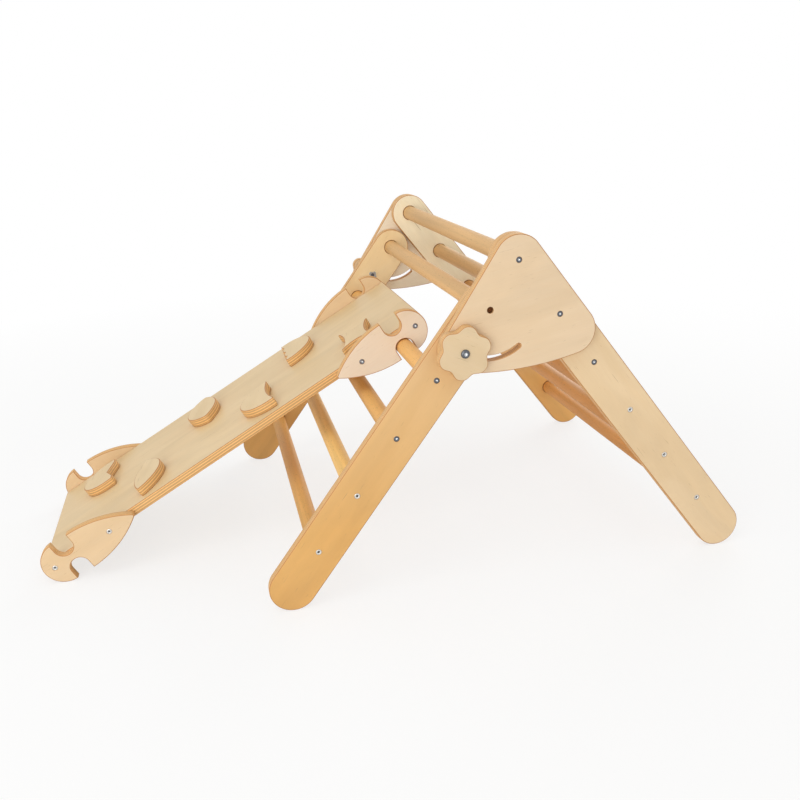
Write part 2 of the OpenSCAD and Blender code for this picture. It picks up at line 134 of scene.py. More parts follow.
# The ramp: two head centres give its slope, and the rung its place
HEAD_R = 0.042
LOWER_HEAD = corners("hook_lower_right")[0][[0, 2]] + HEAD_R
UPPER_HEAD = corners("hook_upper_right")[1][[0, 2]] - HEAD_R
UPHILL = unit(UPPER_HEAD - LOWER_HEAD)
OFF_BOARD = np.array([-UPHILL[1], UPHILL[0]])
RAMP_MIDDLE = float(sum(c[1] for c in corners("ramp_board")) / 2)
BOARD_HALF = float(corners("ramp_board")[1][1] - RAMP_MIDDLE)
BOARD_LEN = float(np.linalg.norm(UPPER_HEAD - LOWER_HEAD) + 2 * HEAD_R)
BOARD_T = 0.018
MID_HEIGHT = float((UPPER_HEAD - HOOKED) @ OFF_BOARD)
NOTCH_OFF = float((UPPER_HEAD - HOOKED) @ UPHILL)
NOTCH_R = 0.018
TAIL_LEN = 0.124
TAIL_BLUNT = 0.003
SCREWS_ALONG = (0.022 - HEAD_R, 0.144 - HEAD_R)  # from the head's centre towards the tail

HOLD_T = 0.018
DISC_R = 0.057
BEAN_R = 0.062


def in_space(point, y):
    """A point of the side view at a distance y across the width."""
    return np.array([point[0], y, point[1]])


# The two directions of a flat piece's outline and the one its thickness grows in
SIDE_AXES = (np.array([1.0, 0, 0]), np.array([0, 0, 1.0]), np.array([0, -1.0, 0]))
BOARD_AXES = (in_space(UPHILL, 0), np.array([0, 1.0, 0]), in_space(OFF_BOARD, 0))


# ---- outlines ----


def angles(count):
    """A full turn in equal steps, in radians, without its last angle."""
    return np.linspace(0, TAU, count + 1)[:-1]


def polar(radius, a):
    """The points (r cos a, r sin a)."""
    return np.stack([radius * np.cos(a), radius * np.sin(a)], 1)


def arc(centre, radius, start, end, count):
    """centre + radius (cos a, sin a), with a running from start to end in degrees."""
    return np.asarray(centre) + polar(radius, np.radians(np.linspace(start, end, count)))


def heading(vector):
    """The direction of a vector in degrees."""
    return math.degrees(math.atan2(vector[1], vector[0]))


def closed(*runs):
    """Runs of points joined into one closed loop, without its doubled points, anticlockwise."""
    loop = np.vstack(runs)
    apart = np.linalg.norm(loop - np.roll(loop, 1, 0), axis=1) > 2e-5
    loop = loop[apart]
    x, y = loop.T
    area = (x * np.roll(y, -1) - y * np.roll(x, -1)).sum()
    return loop if area > 0 else loop[::-1]


def ring(centre, radius, count=32):
    """A circle as a closed loop: centre + radius (cos a, sin a)."""
    return arc(centre, radius, 0, 360 * (count - 1) / count, count)


def strip_loop(p, q, radius):
    """Two half circles round p and q, joined by straight sides."""
    turn = heading(q - p)
    ends = ((p, turn + 90), (q, turn - 90))
    return closed(*(arc(end, radius, start, start + 180, 40) for end, start in ends))


def turned(loop, degrees):
    """A loop turned about the origin."""
    c, s = math.cos(math.radians(degrees)), math.sin(math.radians(degrees))
    return loop @ np.array([[c, s], [-s, c]])


def tangent_turn(a, ra, b, rb):
    """Direction, in degrees, from each centre to the outer tangent on the right of the way from
    a to b: the way's own direction, less the arc cosine of (ra - rb) over the distance."""
    return heading(b - a) - math.degrees(math.acos((ra - rb) / np.linalg.norm(b - a)))


def belly_centre(a, ra, b, rb, radius):
    """Centre of a circle of the given radius that two smaller ones touch from inside."""
    way = b - a
    distance = np.linalg.norm(way)
    along = way / distance
    across = np.array([-along[1], along[0]])
    x = (distance**2 + (radius - ra) ** 2 - (radius - rb) ** 2) / (2 * distance)
    return a + x * along + math.sqrt((radius - ra) ** 2 - x**2) * across


def plate_loop():
    """Three corner arcs, two straight sides and a bowed lower edge."""
    belly = belly_centre(BOLT, PLATE_FRONT_R, PLATE_REAR, RAIL_R, PLATE_BELLY_R)
    front = tangent_turn(BOLT, PLATE_FRONT_R, TOP, RAIL_R) + 360
    back = tangent_turn(TOP, RAIL_R, PLATE_REAR, RAIL_R)
    # The tangents above lie on the right, so the loop is walked clockwise
    left = 2 * heading(TOP - BOLT) - front + 360
    right = 2 * heading(PLATE_REAR - TOP) - back
    at_bolt, at_rear = heading(BOLT - belly), heading(PLATE_REAR - belly)
    return closed(
        arc(BOLT, PLATE_FRONT_R, at_bolt % 360, left % 360, 28),
        arc(TOP, RAIL_R, left % 360, right % 360, 40),
        arc(PLATE_REAR, RAIL_R, right % 360, at_rear % 360 - 360, 40),
        arc(belly, PLATE_BELLY_R, at_rear % 360 - 360, at_bolt % 360 - 360, 60),
    )


def slot_loop():
    """The curved slot: two arcs about the pivot, joined by half circles."""
    start = heading(BOLT - PIVOT)
    end = start + math.degrees(OPEN_ANGLE)
    first, last = arc(PIVOT, SLOT_R, start, end, 2)
    return closed(
        arc(PIVOT, SLOT_R + SLOT_HALF, start, end, 60),
        arc(last, SLOT_HALF, end, end + 180, 14),
        arc(PIVOT, SLOT_R - SLOT_HALF, end, start, 60),
        arc(first, SLOT_HALF, start + 180, start + 360, 14),
    )


def hook_loop():
    """A hook plate about its head's centre: the head's round, a U notch on each side, and two
    long arcs of radius (tail^2 + head^2) / (2 head) that taper to the blunt tail."""
    body = NOTCH_OFF + NOTCH_R
    long_r = (TAIL_LEN**2 + HEAD_R**2) / (2 * HEAD_R)
    tip = TAIL_LEN - TAIL_BLUNT
    cut = math.degrees(math.asin(tip / long_r))
    start = math.degrees(math.acos((NOTCH_OFF - NOTCH_R) / HEAD_R))
    upper = np.vstack([
        arc((body, HEAD_R - long_r), long_r, 90 - cut, 90, 40),
        arc((NOTCH_OFF, MID_HEIGHT), NOTCH_R, 0, -180, 40),
        arc((0, 0), HEAD_R, start, 180, 40),
    ])
    return closed(upper, upper[::-1] * np.array([1, -1]))


def cut_disc(radius, cut):
    """A disc without what lies beyond x = -cut."""
    open_side = math.degrees(math.acos(cut / radius))
    return arc((0, 0), radius, -180 + open_side, 180 - open_side, 90)


def shell_loop():
    """The cut disc with three scallops in its straight side, each an arc of radius bite whose
    centre lies half of that outside the side."""
    cut, bite = 0.010, DISC_R / 7
    reach = math.degrees(math.acos(0.5))
    scallops = [arc((-cut - bite / 2, i * 4 * bite), bite, reach, -reach, 14) for i in (1, 0, -1)]
    return closed(cut_disc(DISC_R, cut), *scallops)


def bean_loop():
    """The cut disc with a long hollow of radius 3 R in its straight side."""
    cut, hollow, depth = 0.009, 3 * BEAN_R, BEAN_R / 8
    centre = depth - cut - hollow
    to_side = -cut - centre
    reach = math.degrees(math.atan2(math.sqrt(hollow**2 - to_side**2), to_side))
    return closed(cut_disc(BEAN_R, cut), arc((centre, 0), hollow, reach, -reach, 50))


def notched_loop():
    """The cut disc with a wide wedge in its straight side. The wedge is mouth wide at its base,
    which lies a little outside the side."""
    cut, mouth, depth, outside = 0.018, 0.72 * DISC_R, 0.27 * DISC_R, 0.001
    run = mouth * depth / (depth + outside)
    wedge = np.array([[-cut, run], [depth - cut, 0], [-cut, -run]])
    return closed(cut_disc(DISC_R, cut), wedge)


def lens_loop(length, bulge_up, bulge_down):
    """Two circular arcs between blunt tips on the y axis, of radius (h^2 + b^2) / (2 b)."""
    half, blunt = length / 2, 0.002
    sides = []
    for bulge, way in ((bulge_up, 1), (bulge_down, -1)):
        radius = (half**2 + bulge**2) / (2 * bulge)
        reach = math.degrees(math.asin((half - blunt) / radius))
        side = arc((bulge - radius, 0), radius, -reach, reach, 60)
        sides.append(side if way > 0 else side[::-1] * np.array([-1, 1]))
    return closed(*sides)


def pinched_loop():
    """A rectangle with each side bitten by a circle."""
    wide, long = 0.068 / 2, 0.092 / 2
    big, depth = 4 * wide, 2 * wide / 7
    small = big / 4 + depth
    side_c, end_c = wide + big - depth, long + big / 4
    s = math.degrees(math.acos((side_c - wide) / big))
    e = math.degrees(math.acos((end_c - long) / small))
    return closed(
        arc((side_c, 0), big, 180 + s, 180 - s, 30),
        arc((0, end_c), small, -90 + e, -90 - e, 24),
        arc((-side_c, 0), big, s, -s, 30),
        arc((0, -end_c), small, 90 + e, 90 - e, 24),
    )


# The climbing holds: outline, place down the board and across it as shares of its length and half
# width, and turn in degrees, as the CAD model has them
HOLDS = {
    "hold_pinched": (pinched_loop(), 0.145, -0.58, -6),
    "hold_shell": (shell_loop(), 0.305, 0.38, 0),
    "hold_bean": (bean_loop(), 0.389, -0.528, 182),
    "hold_egg": (lens_loop(0.128, 0.027, 0.046), 0.552, 0.376, 0),
    "hold_leaf": (lens_loop(0.136, 0.043, 0.018), 0.731, -0.52, -6),
    "hold_notched": (notched_loop(), 0.848, 0.377, 180),
}


def knob_loop(tip, valley, lobes, first):
    """r = tip - valley (1 - w)^1.4 with w = (1 + cos(lobes (a - first))) / 2."""
    a = angles(240)
    wave = (1 + np.cos(lobes * (a - math.radians(first)))) / 2
    return polar(tip - valley * (1 - wave) ** 1.4, a)


# ---- surfaces ----


MITRE_LEAST = 0.35  # 1 + cos of the turn at a corner, below which the mitre gets no longer
CUT_EASE = 0.4  # a cut's eased edge, as a share of the outline's


def inset(loop, distance):
    """Each point moved to the left of the way it is walked, by a mitre of its two sides' normals
    that is kept short at sharp corners."""
    ahead = np.roll(loop, -1, 0) - loop
    ahead /= np.linalg.norm(ahead, axis=1)[:, None]
    normal = np.stack([-ahead[:, 1], ahead[:, 0]], 1)
    before = np.roll(normal, 1, 0)
    share = 1 + (normal * before).sum(1, keepdims=True)
    return loop + distance * (normal + before) / np.maximum(share, MITRE_LEAST)


def placed(name, data):
    """A new object with the given data, linked to the scene."""
    thing = bpy.data.objects.new(name, data)
    bpy.context.scene.collection.objects.link(thing)
    return thing


class Surface:
    """Points, faces and attributes gathered run by run for one mesh."""

    def __init__(self):
        self.points, self.faces, self.smooth = [], [], []
        self.edge, self.grain, self.layer = [], [], []
        self.count = 0

    def add(self, points, faces, smooth, edge, grain, layer):
        """Adds points and faces that all have the same number of corners."""
        n = len(points)
        self.points.append(np.asarray(points, float))
        self.faces += (np.asarray(faces) + self.count).tolist()
        self.smooth += [smooth] * len(faces)
        self.edge.append(np.broadcast_to(edge, n))
        self.grain.append(np.asarray(grain, float))
        self.layer.append(np.broadcast_to(layer, n))
        self.count += n

    def build(self, name):
        """The finished object at the origin, with its edge, layer and grain attributes."""
        mesh = bpy.data.meshes.new(name)
        mesh.from_pydata(np.vstack(self.points), [], self.faces)
        mesh.polygons.foreach_set("use_smooth", self.smooth)
        for key, runs in (("edge", self.edge), ("layer", self.layer)):
            mesh.attributes.new(key, "FLOAT", "POINT").data.foreach_set(
                "value", np.concatenate(runs).astype(np.float32)
            )
        mesh.attributes.new("grain", "FLOAT_VECTOR", "POINT").data.foreach_set(
            "vector", np.vstack(self.grain).astype(np.float32).ravel()
        )
        mesh.validate()
        mesh.update()
        return placed(name, mesh)


def grid_faces(rows, columns):
    """Quads of a grid that is closed along its columns, row by row."""
    row, c = np.meshgrid(np.arange(rows - 1) * columns, np.arange(columns), indexing="ij")
    d = (c + 1) % columns
    return np.stack([row + c, row + d, row + columns + d, row + columns + c], -1).reshape(-1, 4)


def seed_of(name):
    """A fixed shift of the grain for each piece, so that no two show the same board."""
    n = zlib.crc32(name.encode())
    return np.array([n % 97, n // 97 % 89, n // (97 * 89) % 83]) / 10.0


def slab(name, loop, thick, ease, origin, axes, grain=0.0, top=(), bottom=(), through=()):
    """A flat piece. Its outline is carried up a profile of a quarter round, a straight side and a
    quarter round: inset e (1 - sin a), height e (1 - cos a) and their mirror, with a smaller e
    round a cut. top and bottom are blind cuts as (loop, depth, mark, e), whose walls carry the
    mark in the edge attribute, and through holds loops that go right through."""
    shape = Surface()
    across_u, across_v, up = axes
    c, s = math.cos(math.radians(grain)), math.sin(math.radians(grain))
    shift = seed_of(name)

    def put(flat, height, faces, smooth, edge):
        place = origin + flat[:, :1] * across_u + flat[:, 1:] * across_v + height[:, None] * up
        along = np.stack([flat @ [c, s], flat @ [-s, c], height], 1) + shift
        shape.add(place, faces, smooth, edge, along, height / LAYER)

    def rims(size):
        a = np.radians(np.linspace(0, 90, 4))
        low = [(size * (1 - math.sin(t)), size * (1 - math.cos(t))) for t in a]
        return low, [(d, thick - h) for d, h in reversed(low)]

    def wall(outline, profile, size, mark=1.0):
        rings = [inset(outline, d) for d, _ in profile]
        heights = np.repeat([h for _, h in profile], len(outline))
        edge = np.repeat([mark * (1 - d / size) for d, _ in profile], len(outline))
        put(np.vstack(rings), heights, grid_faces(len(profile), len(outline)), True, edge)
        return rings[0], rings[-1]

    floor_loops, roof_loops = [], []
    for outline, size in [(loop, ease), *((cut[::-1], ease * CUT_EASE) for cut in through)]:
        low, high = rims(size)
        below, above = wall(outline, low + high, size)
        floor_loops.append(below)
        roof_loops.append(above)
    for outline, depth, mark, size in top:
        bed, above = wall(outline[::-1], [(0.0, thick - depth)] + rims(size)[1], size, mark)
        roof_loops.append(above)
        put(bed[::-1], np.full(len(bed), thick - depth), [list(range(len(bed)))], False, mark)
    for outline, depth, mark, size in bottom:
        below, bed = wall(outline[::-1], rims(size)[0] + [(0.0, depth)], size, mark)
        floor_loops.append(below)
        put(bed, np.full(len(bed), depth), [list(range(len(bed)))], False, mark)
    for loops, height, way in ((floor_loops, 0.0, -1), (roof_loops, thick, 1)):
        flat = np.vstack(loops)
        lines = [[Vector((x, y, 0)) for x, y in run] for run in loops]
        tris = np.array(geometry.tessellate_polygon(lines))
        one, two = flat[tris[:, 1]] - flat[tris[:, 0]], flat[tris[:, 2]] - flat[tris[:, 0]]
        turn = one[:, 0] * two[:, 1] - one[:, 1] * two[:, 0]
        tris[turn * way < 0] = tris[turn * way < 0][:, ::-1]
        put(flat, np.full(len(flat), height), tris, False, 0)
    return shape.build(name)


def side_slab(name, loop, side, inner, outer, ease, grain=0.0, outside=(), inside=(), through=()):
    """A slab in the side view's plane, between two distances from the middle."""
    top, bottom = (outside, inside) if side == RIGHT else (inside, outside)
    start = -inner if side == RIGHT else outer
    return slab(name, loop, outer - inner, ease, np.array([0, start, 0.0]), SIDE_AXES, grain,
                top, bottom, through)


def turned_solid(shape, place, side, rows, count, socket_to, layer=0.0):
    """Radii and heights carried round an axis that points outwards, and a cap on either end:
    place + way h + r (cos a, sin a). A row's radius may be a function of the angle, as for the
    flats of a hexagon. The rows up to socket_to carry the edge attribute."""
    way = np.array([0.0, side, 0.0])
    first = np.cross(way, [1.0, 0, 0])
    second = np.cross(way, first)
    a = angles(count)
    spokes = np.cos(a)[:, None] * first + np.sin(a)[:, None] * second
    points, mark = [], []
    for k, (radius, height) in enumerate(rows):
        r = radius(a) if callable(radius) else np.full(count, radius)
        points.append(place + way * height + r[:, None] * spokes)
        mark.append(np.full(count, float(k <= socket_to)))
    points, mark = np.vstack(points), np.concatenate(mark)
    last = (len(rows) - 1) * count
    shape.add(points, grid_faces(len(rows), count)[:, ::-1], True, mark, points, layer)
    caps = [range(count), range(last, last + count)[::-1]]
    shape.add(points, caps, False, mark, points, layer)


def hexagon(flats):
    """Radius of a hexagon with the given half width across its flats: f / cos(a mod 60 - 30)."""
    return lambda a: flats / np.cos((a + math.pi / 6) % (math.pi / 3) - math.pi / 6)


# ---- finishes ----


class Wire:
    """A value on its way through a material. Arithmetic on it adds Math nodes."""

    def __init__(self, finish, socket):
        self.finish, self.socket = finish, socket

    def __add__(self, other):
        return self.finish.math("ADD", self, other)

    __radd__ = __add__

    def __sub__(self, other):
        return self.finish.math("SUBTRACT", self, other)

    def __rsub__(self, other):
        return self.finish.math("SUBTRACT", other, self)

    def __mul__(self, other):
        return self.finish.math("MULTIPLY", self, other)

    __rmul__ = __mul__


class Finish:
    """The node tree of a material or of the world."""

    def __init__(self, owner):
        owner.use_nodes = True
        self.owner, self.tree = owner, owner.node_tree
        self.tree.nodes.clear()

    def node(self, kind, settings=(), sockets=(), out=0):
        """Adds a node: its settings first, then values or links for its sockets. Returns one of
        its outputs, or nothing for an output node."""
        made = self.tree.nodes.new(kind)
        for key, value in dict(settings).items():
            setattr(made, key, value)
        for key, value in dict(sockets).items():
            if isinstance(value, Wire):
                self.tree.links.new(value.socket, made.inputs[key])
            else:
                made.inputs[key].default_value = value
        return Wire(self, made.outputs[out]) if len(made.outputs) else None

    def math(self, operation, *values):
        return self.node("ShaderNodeMath", {"operation": operation}, dict(enumerate(values)))

    def attribute(self, name, out="Fac"):
        return self.node("ShaderNodeAttribute", {"attribute_name": name}, out=out)

    def place(self):
        """The object's own coordinates. At rest they are the scene's, as every object is made
        at the origin."""
        return self.node("ShaderNodeTexCoord", out="Object")

    def noise(self, where, scale, detail=2.0, distortion=0.0):
        """Noise on a stretched copy of the coordinates."""
        where = self.node("ShaderNodeMapping", {}, {"Vector": where, "Scale": scale})
        return self.node("ShaderNodeTexNoise", {}, {
            "Vector": where, "Scale": 1.0, "Detail": detail, "Distortion": distortion})

    def step(self, value, low, high):
        """0 below low, 1 above high, and a straight rise between."""
        return self.node("ShaderNodeMapRange", {}, {
            "Value": value, "From Min": low, "From Max": high})

    def mix(self, share, a, b, blend="MIX"):
        """Colours a and b mixed by share."""
        return self.node("ShaderNodeMix", {"data_type": "RGBA", "blend_type": blend},
                         {0: share, 6: a, 7: b}, out=2)

    def light_path(self, kind):
        return self.node("ShaderNodeLightPath", out=f"Is {kind} Ray")

    def shell(self, colour, roughness, height, bump, reach, metal=0.0):
        """The surface shader, with a bump from height, and the material output."""
        normal = self.node("ShaderNodeBump", {}, {
            "Strength": bump, "Distance": reach, "Height": height})
        surface = self.node("ShaderNodeBsdfPrincipled", {}, {
            "Base Color": colour, "Roughness": roughness, "Metallic": metal, "Normal": normal})
        self.node("ShaderNodeOutputMaterial", {}, {"Surface": surface})
        return self.owner


PAINTED_SHADE_BROWN = (0.45, 0.28, 0.16)  # painted shade: the dark brown that shade gives a deep drilled hole, a rung's socket and its seam
RIM_BROWN_AND_SHADE = (0.67, 0.435, 0.22)  # the warm brown of a sanded rim, made darker to paint the shade line along each eased edge
WORN = (0.95, 0.92, 0.86, 1.0)  # multiplies the broad duller zones of a face
PAINTED_GLINT = (0.92, 0.90, 0.84, 1.0)  # painted reflection: a screw's head painted as if it mirrored a lamp
WHITE = (1, 1, 1, 1)
PAINTED_FILL_LIGHT = np.array([1.07, 1.15, 1.24])  # painted light: multiplies the left side's inner faces, painted paler than its outer ones to stand for fill light


def linear(colour, shade=1.0):
    """A colour as written on screen, made linear for the shader: ((c + 0.055) / 1.055)^2.4."""
    c = np.asarray(colour[:3]) * shade
    out = np.where(c <= 0.04045, c / 12.92, ((c + 0.055) / 1.055) ** 2.4)
    return (*out.tolist(), 1.0)


def ply_finish(name, face, edge_colour, warm=None, warm_inside=False, inner=None):
    """Oiled birch plywood. Faces have a faint figure, fine pores, short brown flecks and a few
    long hairlines. Sides show seven layers with glue lines between, and their rims are browner,
    partly their own brown and partly a painted shade line. warm is a second face colour towards
    the floor; where warm_inside keeps it to the left side's inner face, it is painted contact
    shade. inner is a paler colour painted on that inner face, where layer is past 6, as painted
    fill light. The edge attribute is 1 on sides and past 1 in a deep hole, which takes painted
    shade."""
    f = Finish(bpy.data.materials.new(name))
    grain = f.attribute("grain", "Vector")
    edge = f.attribute("edge")
    layer = f.attribute("layer")
    clouds = f.noise(grain, (4.5, 14.0, 1.0), 3.0, 1.2)
    figure = f.noise(grain, (1.6, 70.0, 1.0), 4.0, 0.9)
    fibre = f.noise(grain, (22.0, 1300.0, 60.0), 2.0)
    fleck = f.step(f.noise(grain, (60.0, 600.0, 20.0), 1.0), 0.725, 0.79)
    hairline = f.step(f.noise(grain, (13.0, 420.0, 9.0), 1.0, 0.3), 0.75, 0.78)
    tone = f.step(clouds * 0.8 + figure * 0.2, 0.3, 0.7)

    def wood(shown, pale=1.02, deep=0.965):
        return f.mix(tone, linear(shown, pale), linear(shown, deep))

    colour = wood(face)
    inside = f.step(layer, 6.0, 6.8)
    if inner is not None:
        colour = f.mix(inside, colour, wood(inner))
    if warm is not None:
        height = f.node("ShaderNodeSeparateXYZ", {}, {0: f.place()}, out="Z")
        low = f.step(height, 0.44, 0.14)
        if warm_inside:
            low = low * inside
        colour = f.mix(low, colour, wood(warm, 1.01, 0.93))
    zones = f.step(f.noise(grain, (4.0, 15.0, 1.0), 1.0, 0.8), 0.42, 0.58)
    colour = f.mix(zones * 0.5, colour, WORN, "MULTIPLY")
    colour = f.mix(f.step(fibre, 0.35, 0.75) * 0.18, colour, linear(edge_colour))
    marks = f.math("MAXIMUM", fleck * 0.32, hairline * 0.6)
    colour = f.mix(marks, colour, linear(edge_colour, 0.72))
    # Layers: every second one is darker, and a thin glue line runs between two
    wander = f.noise(grain, (6.0, 6.0, 6.0), 2.0)
    count = layer + wander * 0.22 - 0.11
    dark = f.step(f.math("FRACT", count * 0.5), 0.47, 0.53)
    glue = f.step(f.math("FRACT", count), 0.84, 0.97)
    streak = f.step(f.noise(grain, (30.0, 30.0, 420.0), 3.0), 0.42, 0.72)
    bare = f.mix(dark, linear(edge_colour, 1.10), linear(edge_colour, 0.90))
    bare = f.mix(glue * 0.5, bare, linear(edge_colour, 0.70))
    bare = f.mix(streak * 0.2, bare, linear(edge_colour, 0.84))
    side = f.step(edge, 0.05, 0.45)
    rim = f.step(edge, 0.0, 0.35) * f.step(edge, 1.0, 0.65)
    colour = f.mix(side, colour, bare)
    # Partly painted shade: the eased rims take the sanded rim's brown, darkened into a shade line
    colour = f.mix(rim * 0.95, colour, linear(RIM_BROWN_AND_SHADE))
    # Painted shade: the walls and beds of deep holes, where the edge attribute is past 1, turn
    # shade brown
    hole_shade = f.step(edge, 1.05, 1.5)
    colour = f.mix(hole_shade, colour, linear(PAINTED_SHADE_BROWN))
    height = fibre * 0.5 + figure * 0.3 + side * dark * 0.6
    rough = tone * 0.06 + side * 0.14 + 0.44
    return f.shell(colour, rough, height, 0.22, 0.0004)


def beech_finish(name, colour):
    """Oiled beech dowel: long soft streaks, fine pores, and the short dark ray flecks of the wood.
    layer is 1 in the thin shaded seam where the dowel leaves its sockets."""
    f = Finish(bpy.data.materials.new(name))
    grain = f.attribute("grain", "Vector")
    edge = f.attribute("edge")
    streak = f.noise(grain, (1.3, 60.0, 60.0), 4.0, 0.5)
    broad = f.noise(grain, (3.0, 22.0, 22.0), 2.0)
    pores = f.noise(grain, (60.0, 1500.0, 1500.0), 2.0)
    rays = f.step(f.noise(grain, (130.0, 700.0, 700.0), 1.0), 0.64, 0.72)
    tone = f.step(streak * 0.6 + broad * 0.4, 0.3, 0.7)
    shade = f.mix(tone, linear(colour, 1.06), linear(colour, 0.88))
    shade = f.mix(rays * 0.5, shade, linear(colour, 0.66))
    shade = f.mix(f.step(pores, 0.45, 0.8) * 0.22, shade, linear(colour, 0.74))
    shade = f.mix(edge * 0.6, shade, linear(colour, 0.7))
    # Painted shade: the thin seam where the dowel enters its socket is darkened to the shade brown
    shade = f.mix(f.attribute("layer") * 0.75, shade, linear(PAINTED_SHADE_BROWN))
    rough = f.step(streak, 0.0, 1.0) * 0.12 + 0.48
    return f.shell(shade, rough, pores * 0.6 + rays * 0.4, 0.2, 0.0003)


def steel_finish(name, colour, socket):
    """Zinc-plated steel with a painted reflection: darker on the turned head and pale in the
    hexagon socket. Where layer is 1 it is the other way round, with a painted glint on
    the head."""
    f = Finish(bpy.data.materials.new(name))
    place = f.place()
    inside = f.attribute("edge")
    cloud = f.noise(place, (900.0, 900.0, 900.0), 3.0)
    scratch = f.noise(place, (2500.0, 400.0, 2500.0), 2.0)
    bright = f.attribute("layer")
    head = f.mix(bright, linear(colour), PAINTED_GLINT)
    hollow = f.mix(bright, linear(socket), linear(colour, 0.7))
    shade = f.mix(inside, f.mix(cloud * 0.5, head, linear(colour, 0.8)), hollow)
    rough = f.step(scratch, 0.2, 0.8) * 0.2 + 0.24
    return f.shell(shade, rough, scratch, 0.12, 0.0001, metal=0.9)


def plated_steel(look):
    """The steel that bolts, tee nuts and most screws share, made once."""
    made = bpy.data.materials.get("plated_steel")
    return made or steel_finish("plated_steel", look.colour, look.socket)


def fit(thing, node, material):
    """Gives a piece its finish, and lets it stand for its CAD node on the node's body."""
    thing.data.materials.append(material)
    record = frame["record"]
    body = next(b for b, names in record["behaviour"]["bodies"].items() if node in names)
    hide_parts(node)
    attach(thing, body)
    next(s["material_slot"] for s in record["subparts"] if s["node"] == node)


def fit_side(node, loop, side, ease, material, **cuts):
    """Makes a flat piece of one side, as thick as its CAD node, and fits it in."""
    inner, outer = layer(node, side)
    fit(side_slab(f"{node}_oiled", loop, side, inner, outer, ease, **cuts), node, material)


# ---- sizes and colours that a user would change ----


def colour_prop(name, what, value):
    return bpy.props.FloatVectorProperty(
        name=name, description=what, subtype="COLOR_GAMMA", size=3, min=0, max=1, default=value)


def length_prop(name, what, value):
    return bpy.props.FloatProperty(
        name=name, description=what, subtype="DISTANCE", unit="LENGTH", min=0, default=value)


def number_prop(name, what, value, unit="NONE"):
    return bpy.props.FloatProperty(name=name, description=what, unit=unit, default=value)


class ClimberLadders(bpy.types.PropertyGroup):
    """Looks of the two ladders and their connector plates."""

    ease: length_prop("Eased edge", "Radius of the eased edges of the plywood", 0.0018)
    plate_colour: colour_prop("Plates", "Face of the connector plates", (0.877, 0.78, 0.65))
    rear_colour: colour_prop("Rear rails", "Face of the rear rails", (0.898, 0.793, 0.637))
    front_colour: colour_prop(
        "Front rails", "Face of the front rails at the top", (0.868, 0.718, 0.515))
    foot_colour: colour_prop(
        "Front feet", "Face of the front rails at the floor", (0.872, 0.67, 0.385))
    # Painted shade: a darker, warmer colour towards the floor on the left rear rail's inner face
    # stands for contact shade
    rear_foot_colour: colour_prop(
        "Left rear foot", "Inner face of the left rear rail at the floor", (0.915, 0.702, 0.405))
    edge_colour: colour_prop("Bare edges", "Layers of the plywood's edges", (0.85, 0.675, 0.455))
    rung_colour: colour_prop(
        "Top rungs", "Oiled beech of the top three rungs", (0.868, 0.692, 0.458))
    # Painted shade: the lower rear rungs get a darker copy of the beech, for the shade under the
    # plates
    rear_rung_colour: colour_prop(
        "Rear rungs", "Oiled beech of the lower rear rungs", (0.838, 0.597, 0.328))
    # Painted light: the lower front rungs, the third one most, get lighter copies of the beech to
    # make up for the shade under the ramp
    front_rung_colour: colour_prop(
        "Front rungs", "Oiled beech of the lower front rungs", (0.93, 0.708, 0.405))
    third_rung_colour: colour_prop(
        "Third front rung", "Oiled beech of the third front rung", (0.985, 0.80, 0.485))


class ClimberKnobs(bpy.types.PropertyGroup):
    """Looks of the clamp knobs."""

    tip: length_prop("Lobe radius", "Radius at the tips of the lobes", 0.046)
    valley: length_prop("Lobe depth", "How far the valleys lie inside the tips", 0.0075)
    lobes: bpy.props.IntProperty(name="Lobes", description="Number of lobes", min=3, default=6)
    first: number_prop("First lobe", "Degrees from the horizontal to the first lobe", 19.0)
    ease: length_prop("Eased edge", "Radius of the knob's eased edges", 0.0015)
    colour: colour_prop("Face", "Face of the knobs", (0.84, 0.748, 0.606))


class ClimberHardware(bpy.types.PropertyGroup):
    """Looks of the screws, bolts and tee nuts."""

    screw_flats: length_prop("Screw socket", "Half width of a screw's hexagon socket", 0.0021)
    bolt_flats: length_prop("Bolt socket", "Half width of a bolt's hexagon socket", 0.0026)
    colour: colour_prop("Steel", "Plated steel of the heads", (0.42, 0.43, 0.45))
    # Painted light: the hexagon sockets are painted pale, as a reflection
    socket: colour_prop("Sockets", "Brightness of the hexagon sockets", (0.86, 0.87, 0.88))


class ClimberRamp(bpy.types.PropertyGroup):
    """Looks of the ramp."""

    ease: length_prop("Eased edge", "Radius of the eased edges of board and hooks", 0.0018)
    hold_ease: length_prop("Eased holds", "Radius of the eased edges of the holds", 0.0026)
    board_colour: colour_prop("Board", "Face of the ramp board", (0.872, 0.77, 0.595))
    hook_colour: colour_prop("Hook plates", "Face of three hook plates", (0.885, 0.772, 0.615))
    pale_colour: colour_prop(
        "Pale hook", "Face of the upper right hook plate", (0.915, 0.845, 0.755))
    hold_colour: colour_prop("Holds", "Face of the climbing holds", (0.875, 0.775, 0.60))
    edge_colour: colour_prop("Bare edges", "Layers of the plywood's edges", (0.86, 0.675, 0.435))


class ClimberStage(bpy.types.PropertyGroup):
    """Floor, light and camera."""

    floor_colour: colour_prop("Floor", "Pale studio floor", (0.955, 0.955, 0.95))
    sky: number_prop("Sky", "Strength of the even light", 0.70)
    key: number_prop("Key light", "Power of the large lamp above on the left", 36.0, "POWER")
    front: number_prop("Front light", "Power of the low lamp on the left", 50.0, "POWER")
    back: number_prop("Back light", "Power of the lamp behind the part", 38.0, "POWER")
    lens: number_prop("Lens", "Focal length in millimetres", 39.6)


# ---- making the pieces ----


def screw_hole(place, radius=0.0051, depth=0.004, mark=1):
    """A blind cut for a screw's head: its loop, depth, mark and ease."""
    return ring(place, radius), depth, mark, 0.0003


